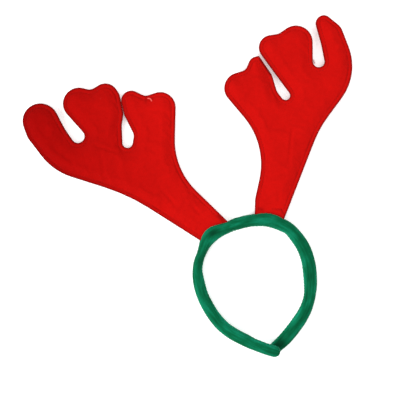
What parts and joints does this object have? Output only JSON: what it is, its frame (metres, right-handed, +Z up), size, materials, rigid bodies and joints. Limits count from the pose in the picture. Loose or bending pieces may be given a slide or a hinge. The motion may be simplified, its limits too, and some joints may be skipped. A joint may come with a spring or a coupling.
{
  "type": "reindeer antler headband",
  "caption": "Reindeer antler headband: green padded velour Alice band, relaxed with its ends crossed, and red felt antlers, lightly padded and top-stitched, lying flat.",
  "frame": {"origin": "under the crown of the band, midway between the antlers, on its flat underside", "axes": "+Z up out of the front face of the headband as it lies on its back, +Y from the crossed ends of the band towards the antlers, +X to the right seen from the front"},
  "size_m": [0.3345, 0.3171, 0.0159],
  "materials": {
    "green_velour": "short-pile velour with a soft sheen",
    "red_felt": "matt pressed felt"
  },
  "bodies": {
    "root": {"band": "green_velour", "antler_left_front": "red_felt", "antler_left_back": "red_felt", "antler_right_front": "red_felt", "antler_right_back": "red_felt"}
  },
  "joints": []
}
